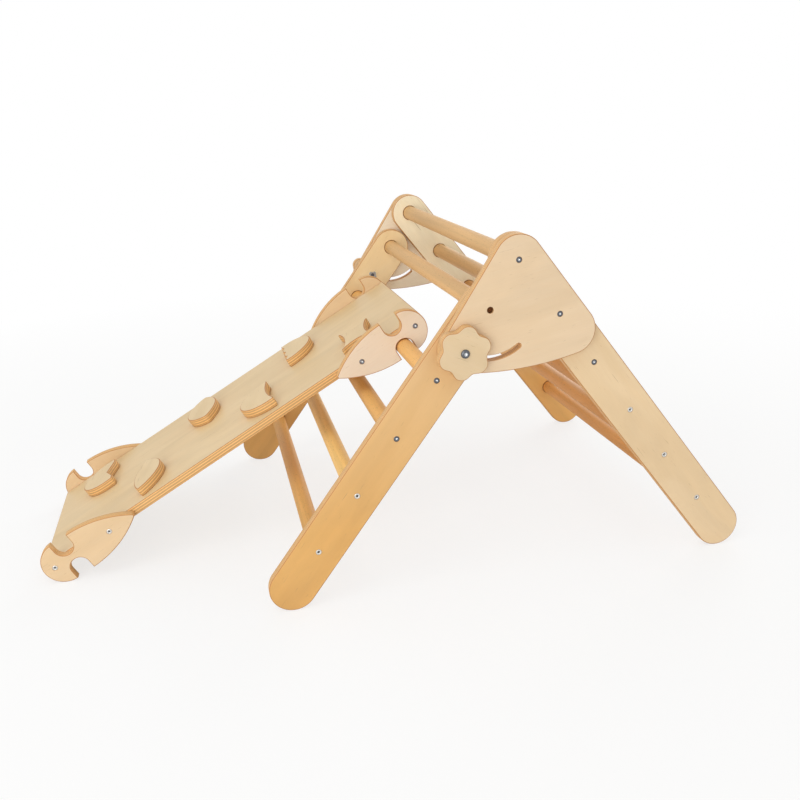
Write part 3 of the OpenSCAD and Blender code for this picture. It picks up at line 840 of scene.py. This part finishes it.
def rung_socket(place):
    """A blind cut for a rung's end, a little wider than the dowel and well eased. Its walls
    and bed take painted shade.
    """
    return ring(place, 0.0165, 64), 0.0088, 1.6, 0.0011


def side_ply(kind, word, look, face, warm=None, warm_inside=False):
    """Plywood of one side's pieces. The left side's inner faces are painted paler, as painted fill
    light.
    """
    inner = np.minimum(PAINTED_FILL_LIGHT * face[:], 0.96) if word == "left" else None
    return ply_finish(f"{kind}_ply_{word}", face, look.edge_colour, warm, warm_inside, inner)


class CLIMBER_OT_plates(bpy.types.Operator):
    """Connector plates with their curved slots and the recesses for the pivot screws"""

    bl_idname = "climber.plates"
    bl_label = "Connector plates"

    def execute(self, context):
        look = context.scene.climber_ladders
        finish = {word: side_ply("plate", word, look, look.plate_colour) for word, _ in SIDES}
        loop, slot = plate_loop(), slot_loop()
        holes = [screw_hole(p) for p in REAR_RUNGS[:2]]
        # Painted shade: mark 1.3 turns the pivot recess's walls and bed the shade brown of a deep
        # hole
        holes.append(screw_hole(PIVOT, 0.0056, 0.007, 1.3))
        for word, side in SIDES:
            fit_side(f"connector_plate_{word}", loop, side, look.ease, finish[word],
                     grain=heading(REAR_DIR) + 64, outside=holes, through=[slot])
        return {"FINISHED"}


class CLIMBER_OT_rails(bpy.types.Operator):
    """Rear and front side rails with round ends, screw holes and blind sockets"""

    bl_idname = "climber.rails"
    bl_label = "Side rails"

    def execute(self, context):
        look = context.scene.climber_ladders
        rear = {"right": side_ply("rear", "right", look, look.rear_colour)}
        # Painted shade: the left rear rail's inner face darkens towards the floor
        rear["left"] = side_ply(
            "rear", "left", look, look.rear_colour, look.rear_foot_colour, warm_inside=True)
        front = {word: side_ply("front", word, look, look.front_colour, look.foot_colour)
                 for word, _ in SIDES}
        runs = (
            ("rear_rail", TOP, REAR_FOOT, REAR_RUNGS, REAR_RUNGS[2:], [], rear),
            ("front_rail", PIVOT, FRONT_FOOT, [PIVOT, *FRONT_RUNGS], FRONT_RUNGS, [BOLT], front),
        )
        for kind, head, foot, sockets, screws, bolts, finish in runs:
            loop = strip_loop(head, foot, RAIL_R)
            inside = [rung_socket(p) for p in sockets]
            outside = [screw_hole(p) for p in screws]
            through = [ring(p, RAIL_BORE) for p in bolts]
            for word, side in SIDES:
                fit_side(f"{kind}_{word}", loop, side, look.ease, finish[word],
                         grain=heading(foot - head), outside=outside, inside=inside,
                         through=through)
        return {"FINISHED"}


class CLIMBER_OT_rungs(bpy.types.Operator):
    """Beech dowels of both ladders"""

    bl_idname = "climber.rungs"
    bl_label = "Rungs"

    def execute(self, context):
        look = context.scene.climber_ladders
        pale = beech_finish("pale_beech", look.rung_colour)
        # Painted light and shade: the lower rungs take darker or lighter copies of one beech, by
        # where shade falls
        warm = {"rear": beech_finish("rear_beech", look.rear_rung_colour),
                "front": beech_finish("front_beech", look.front_rung_colour)}
        light = beech_finish("light_beech", look.third_rung_colour)
        own = {"rear_rung_1": pale, "rear_rung_2": pale, "pivot_rung": pale, "front_rung_3": light}
        nodes = [f"rear_rung_{i}" for i in range(1, 7)] + ["pivot_rung"]
        nodes += [f"front_rung_{i}" for i in range(1, 5)]
        for node in nodes:
            low, high = corners(node)
            centre, half = (low + high) / 2, (high[1] - low[1]) / 2
            radius = (high[0] - low[0]) / 2
            beech = own.get(node) or warm[node.split("_")[0]]
            fit(self.dowel(f"{node}_oiled", centre, half, radius), node, beech)
        return {"FINISHED"}

    @staticmethod
    def dowel(name, centre, half, radius):
        """centre + (r sin a, y, r cos a), with r constant but for a 1 mm ease at each end."""
        shape = Surface()
        ease, count = 0.001, 72
        free = half - SOCKET  # the dowel shows between plus and minus this
        seam = np.array([free - 0.0012, free - 0.0009])
        between = np.linspace(-0.97, 0.97, 21) * free
        y = np.concatenate([[-half, ease - half], -seam[::-1], between, seam, [half - ease, half]])
        r = np.full(len(y), radius)
        r[[0, -1]] -= ease
        a = angles(count)
        points = np.stack([np.outer(r, np.sin(a)), np.repeat(y[:, None], count, 1),
                           np.outer(r, np.cos(a))], -1).reshape(-1, 3)
        grain = points[:, [1, 0, 2]] + seed_of(name)
        end = np.repeat(np.isin(np.arange(len(y)), [0, len(y) - 1]), count).astype(float)
        shade = np.repeat(abs(y) > seam[0] + 1e-5, count).astype(float)
        shape.add(points + centre, grid_faces(len(y), count)[:, ::-1], True, end, grain, shade)
        for row, way in ((0, 1), (len(y) - 1, -1)):
            rim = points[row * count:(row + 1) * count]
            shape.add(rim + centre, [list(range(count))[::way]], False, 1.0,
                      grain[row * count:(row + 1) * count], 0.0)
        return shape.build(name)


class CLIMBER_OT_knobs(bpy.types.Operator):
    """Lobed clamp knobs, their button-head bolts and the tee nuts behind them"""

    bl_idname = "climber.knobs"
    bl_label = "Clamp knobs"

    def execute(self, context):
        look, steel = context.scene.climber_knobs, context.scene.climber_hardware
        edges = context.scene.climber_ladders.edge_colour
        wood = ply_finish("knob_ply", look.colour, edges)
        metal = plated_steel(steel)
        loop = knob_loop(look.tip, look.valley, look.lobes, look.first) + BOLT
        for word, side in SIDES:
            disc, bolt, nut = f"knob_disc_{word}", f"knob_bolt_{word}", f"tee_nut_{word}"
            fit_side(disc, loop, side, look.ease, wood, grain=25.0 * side,
                     through=[ring(BOLT, KNOB_BORE)])
            outer = layer(disc, side)[1]
            fit(self.bolt(bolt, side, outer, steel.bolt_flats), bolt, metal)
            fit(self.tee_nut(nut, side), nut, metal)
        return {"FINISHED"}

    @staticmethod
    def bolt(node, side, outer, flats):
        """A head that falls as a quarter ellipse from the socket's rim, and a plain shank."""
        shape = Surface()
        low, high = corners(node)
        head_r = (high[0] - low[0]) / 2
        head_h = (high[1] if side == LEFT else -low[1]) - outer
        rim, bed, shank_r = flats * 1.25, head_h * 0.3, 0.0040
        dome = [(rim + (head_r - rim) * math.sin(t), head_h * (0.25 + 0.75 * math.cos(t)))
                for t in np.radians(np.linspace(8, 82, 9))]
        tip = -(high[1] - low[1]) + head_h
        rows = [(0.0002, bed), (hexagon(flats), bed), (hexagon(flats), head_h * 0.93),
                (rim, head_h), *dome, (head_r, head_h * 0.18), (head_r, 0.0), (0.0041, 0.0),
                (shank_r, -0.001), (shank_r, tip + 0.0006), (0.0034, tip)]
        turned_solid(shape, in_space(BOLT, side * outer), side, rows, 48, socket_to=2)
        return shape.build(f"{node}_plated")

    @staticmethod
    def tee_nut(node, side):
        """A thin flange whose edge dips between four ears, with the barrel's bore."""
        face, thick, waist, ears = layer(node, side)[0], 0.0012, 0.0078, 0.0022
        a = angles(96)
        r = waist + ears * np.clip(np.cos(4 * (a - math.pi / 4)) * 2.2 + 0.9, 0, 1)
        loop = polar(r, a) + BOLT
        return side_slab(f"{node}_plated", loop, side, face, face + thick, 0.0003,
                         through=[ring(BOLT, NUT_BORE)])


class CLIMBER_OT_screws(bpy.types.Operator):
    """Countersunk connector screws with hexagon sockets"""

    bl_idname = "climber.screws"
    bl_label = "Screws"

    def execute(self, context):
        steel = context.scene.climber_hardware
        metal = plated_steel(steel)
        # Painted shade: the pivot screws, deep in their recess, get the shade brown in place of
        # plated steel
        shaded = steel_finish("browned_steel", PAINTED_SHADE_BROWN, PAINTED_SHADE_BROWN)
        outer = layer("connector_plate_right", RIGHT)[1]
        rear, front = layer("rear_rail_right", RIGHT)[1], layer("front_rail_right", RIGHT)[1]
        sunk = -corners("pivot_screws")[0][1]
        groups = (
            ("plate_screws", REAR_RUNGS[:2], outer), ("rear_rung_screws", REAR_RUNGS[2:], rear),
            ("pivot_screws", [PIVOT], sunk), ("front_rung_screws", FRONT_RUNGS, front),
        )
        # Painted highlight: from these screws on, the heads are painted as glints of a lamp
        first_bright = {"front_rung_screws": 2, "rear_rung_screws": 1}
        for node, places, face in groups:
            shape = Surface()
            for i, p in enumerate(places):
                bright = float(i >= first_bright.get(node, len(places)))
                for _, side in SIDES:
                    self.screw(shape, in_space(p, side * face), side, steel.screw_flats, bright)
            fit(shape.build(f"{node}_plated"), node, shaded if node == "pivot_screws" else metal)
        shape = Surface()
        edge = BOARD_HALF + PLY
        # Painted highlight: the screws at the lower hooks' heads are painted as glints of a lamp
        for head, way, bright in ((UPPER_HEAD, -1, 0.0), (LOWER_HEAD, 1, 1.0)):
            for along in SCREWS_ALONG:
                p = head + way * along * UPHILL
                for _, side in SIDES:
                    self.screw(shape, in_space(p, RAMP_MIDDLE + side * edge), side,
                               steel.screw_flats, bright)
        paler = steel_finish("paler_steel", np.array(steel.colour) * 1.3, steel.socket)
        fit(shape.build("hook_screws_plated"), "hook_screws", paler)
        return {"FINISHED"}

    @staticmethod
    def screw(shape, place, side, flats, bright):
        """A flat head of 5 mm radius with a hexagon socket, a cone under it and a plain shank."""
        rows = [(0.0002, -0.0024), (hexagon(flats), -0.0024), (hexagon(flats), -0.0003),
                (flats * 1.3, -0.0001), (0.0047, 0.0), (0.0050, -0.0003), (0.0026, -0.0027),
                (0.0025, -0.045), (0.0012, -0.0472)]
        turned_solid(shape, place, side, rows, 36, socket_to=1, layer=bright)


class CLIMBER_OT_board(bpy.types.Operator):
    """Ramp board with bare layered edges"""

    bl_idname = "climber.board"
    bl_label = "Ramp board"

    def execute(self, context):
        look = context.scene.climber_ramp
        finish = ply_finish("ramp_ply", look.board_colour, look.edge_colour)
        r = 0.0015  # the corners' rounding
        side = BOARD_HALF - 0.0001 - r  # the board stays clear of the hook plates' inner faces
        far = BOARD_LEN - r
        turns = ((far, side, 0), (r, side, 90), (r, -side, 180), (far, -side, 270))
        loop = closed(*(arc((x, y), r, start, start + 90, 5) for x, y, start in turns))
        start = LOWER_HEAD - HEAD_R * UPHILL - BOARD_T / 2 * OFF_BOARD
        fit(slab("ramp_board_oiled", loop, BOARD_T, look.ease, in_space(start, RAMP_MIDDLE),
                 BOARD_AXES), "ramp_board", finish)
        return {"FINISHED"}


class CLIMBER_OT_hooks(bpy.types.Operator):
    """Hook plates with a round head, a notch above and below, and a tapered tail"""

    bl_idname = "climber.hooks"
    bl_label = "Hook plates"

    def execute(self, context):
        look = context.scene.climber_ramp
        plain = ply_finish("hook_ply", look.hook_colour, look.edge_colour)
        pale = ply_finish("pale_hook_ply", look.pale_colour, look.edge_colour)
        loop = hook_loop()
        holes = [screw_hole((x, 0)) for x in SCREWS_ALONG]
        for end, head, way in (("lower", LOWER_HEAD, 1), ("upper", UPPER_HEAD, -1)):
            axes = (in_space(UPHILL * way, 0), in_space(OFF_BOARD * way, 0), SIDE_AXES[2])
            for word, side in SIDES:
                node = f"hook_{end}_{word}"
                edge = BOARD_HALF if side == RIGHT else BOARD_HALF + PLY
                top, bottom = (holes, ()) if side == RIGHT else ((), holes)
                place = in_space(head, RAMP_MIDDLE + side * edge)
                thing = slab(f"{node}_oiled", loop, PLY, look.ease, place, axes, 0.0, top, bottom)
                fit(thing, node, pale if node == "hook_upper_right" else plain)
        return {"FINISHED"}


class CLIMBER_OT_holds(bpy.types.Operator):
    """Climbing holds glued to the ramp board"""

    bl_idname = "climber.holds"
    bl_label = "Climbing holds"

    def execute(self, context):
        look = context.scene.climber_ramp
        finish = ply_finish("hold_ply", look.hold_colour, look.edge_colour)
        top = UPPER_HEAD + HEAD_R * UPHILL + BOARD_T / 2 * OFF_BOARD
        for node, (loop, down, across, turn) in HOLDS.items():
            place = in_space(top - down * BOARD_LEN * UPHILL, RAMP_MIDDLE + across * BOARD_HALF)
            thing = slab(f"{node}_oiled", turned(loop, turn), HOLD_T, look.hold_ease, place,
                         BOARD_AXES, grain=80.0)
            fit(thing, node, finish)
        return {"FINISHED"}


class CLIMBER_OT_stage(bpy.types.Operator):
    """Pale floor, soft lamps and the camera"""

    bl_idname = "climber.stage"
    bl_label = "Floor, light and camera"

    def execute(self, context):
        look = context.scene.climber_stage
        self.floor(look)
        self.sky(look)
        self.lamp("key_lamp", (-2.2, -1.8, 3.4), 2.6, look.key)
        self.lamp("front_lamp", (-1.8, -3.1, 0.55), 2.4, look.front)
        self.lamp("back_lamp", (2.4, 2.9, 1.9), 2.6, look.back)
        self.camera(look)
        context.scene.view_settings.view_transform = "Standard"
        return {"FINISHED"}

    @staticmethod
    def floor(look):
        """A disc: (R cos a, R sin a, 0), its rings spaced as the square of their number. It keeps
        the object's shadow and fades to white with the distance from it."""
        count, rings, reach = 96, 12, 14.0
        a = angles(count)
        r = reach * (np.arange(1, rings + 1) / rings) ** 2
        points = np.stack([np.outer(r, np.cos(a)), np.outer(r, np.sin(a)),
                           np.zeros((rings, count))], -1).reshape(-1, 3)
        mesh = bpy.data.meshes.new("floor")
        mesh.from_pydata(points, [], grid_faces(rings, count)[:, ::-1].tolist()
                         + [list(range(count))])
        thing = placed("floor", mesh)
        f = Finish(bpy.data.materials.new("pale_floor"))
        away = f.node("ShaderNodeVectorMath", {"operation": "LENGTH"}, {0: f.place()}, out="Value")
        seen = f.light_path("Camera")
        far = (f.step(away, 1.0, 2.6) * 0.28 + 0.72) * seen
        near = f.node("ShaderNodeBsdfDiffuse", {}, {"Color": linear(look.floor_colour)})
        white = f.node("ShaderNodeEmission", {}, {"Color": WHITE, "Strength": 1.0})
        both = f.node("ShaderNodeMixShader", {}, {0: far, 1: near, 2: white})
        f.node("ShaderNodeOutputMaterial", {}, {"Surface": both})
        thing.data.materials.append(f.owner)

    @staticmethod
    def sky(look):
        """Even light on the object, and white behind it and in its reflections."""
        f = Finish(bpy.data.worlds.new("studio"))
        bpy.context.scene.world = f.owner
        either = f.math("MAXIMUM", f.light_path("Camera"), f.light_path("Glossy"))
        even = f.node("ShaderNodeBackground", {}, {"Color": WHITE, "Strength": look.sky})
        white = f.node("ShaderNodeBackground", {}, {"Color": WHITE, "Strength": 1.0})
        both = f.node("ShaderNodeMixShader", {}, {0: either, 1: even, 2: white})
        f.node("ShaderNodeOutputWorld", {}, {"Surface": both})

    @staticmethod
    def aim(thing, place, target, roll=0.0):
        """Puts a lamp or camera in its place, looks at the target and rolls by some degrees."""
        thing.location = place
        thing.rotation_mode = "QUATERNION"
        turn = (Vector(target) - Vector(place)).to_track_quat("-Z", "Y")
        thing.rotation_quaternion = turn @ Quaternion((0, 0, 1), math.radians(roll))

    def lamp(self, name, place, size, power):
        data = bpy.data.lights.new(name, "AREA")
        data.shape, data.size, data.energy = "DISK", size, power
        self.aim(placed(name, data), place, (-0.05, 0, 0.25))

    def camera(self, look):
        """Looks from where the photograph was taken, with the fitted camera's azimuth, height
        and roll."""
        data = bpy.data.cameras.new("photo_view")
        data.lens, data.sensor_width = look.lens, 36.0
        data.clip_start, data.clip_end = 0.05, 60.0
        thing = placed("photo_view", data)
        self.aim(thing, (-0.2937, -1.7357, 0.8261), (0.0807, 0, 0.237), roll=-2.55)
        bpy.context.scene.camera = thing


class CLIMBER_PT_panel(bpy.types.Panel):
    """Lists the sizes, the colours and the steps"""

    bl_idname = "CLIMBER_PT_panel"
    bl_label = "Climber"
    bl_space_type = "VIEW_3D"
    bl_region_type = "UI"
    bl_category = "Climber"

    def draw(self, context):
        for key, group in LOOKS.items():
            box = self.layout.box()
            box.label(text=group.__name__.replace("Climber", ""))
            for prop in group.__annotations__:
                box.prop(getattr(context.scene, key), prop)
        for step in STEPS:
            self.layout.operator(step.bl_idname)


LOOKS = {
    "climber_ladders": ClimberLadders,
    "climber_knobs": ClimberKnobs,
    "climber_hardware": ClimberHardware,
    "climber_ramp": ClimberRamp,
    "climber_stage": ClimberStage,
}
STEPS = (
    CLIMBER_OT_plates, CLIMBER_OT_rails, CLIMBER_OT_rungs, CLIMBER_OT_knobs, CLIMBER_OT_screws,
    CLIMBER_OT_board, CLIMBER_OT_hooks, CLIMBER_OT_holds, CLIMBER_OT_stage,
)


def register():
    for kind in (*LOOKS.values(), *STEPS, CLIMBER_PT_panel):
        bpy.utils.register_class(kind)
    for key, group in LOOKS.items():
        setattr(bpy.types.Scene, key, bpy.props.PointerProperty(type=group))


def unregister():
    for key in LOOKS:
        delattr(bpy.types.Scene, key)
    for kind in reversed((*LOOKS.values(), *STEPS, CLIMBER_PT_panel)):
        bpy.utils.unregister_class(kind)


def main():
    """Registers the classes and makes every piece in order."""
    register()
    for step in STEPS:
        group, name = step.bl_idname.split(".")
        getattr(getattr(bpy.ops, group), name)()


if __name__ == "__main__":
    main()
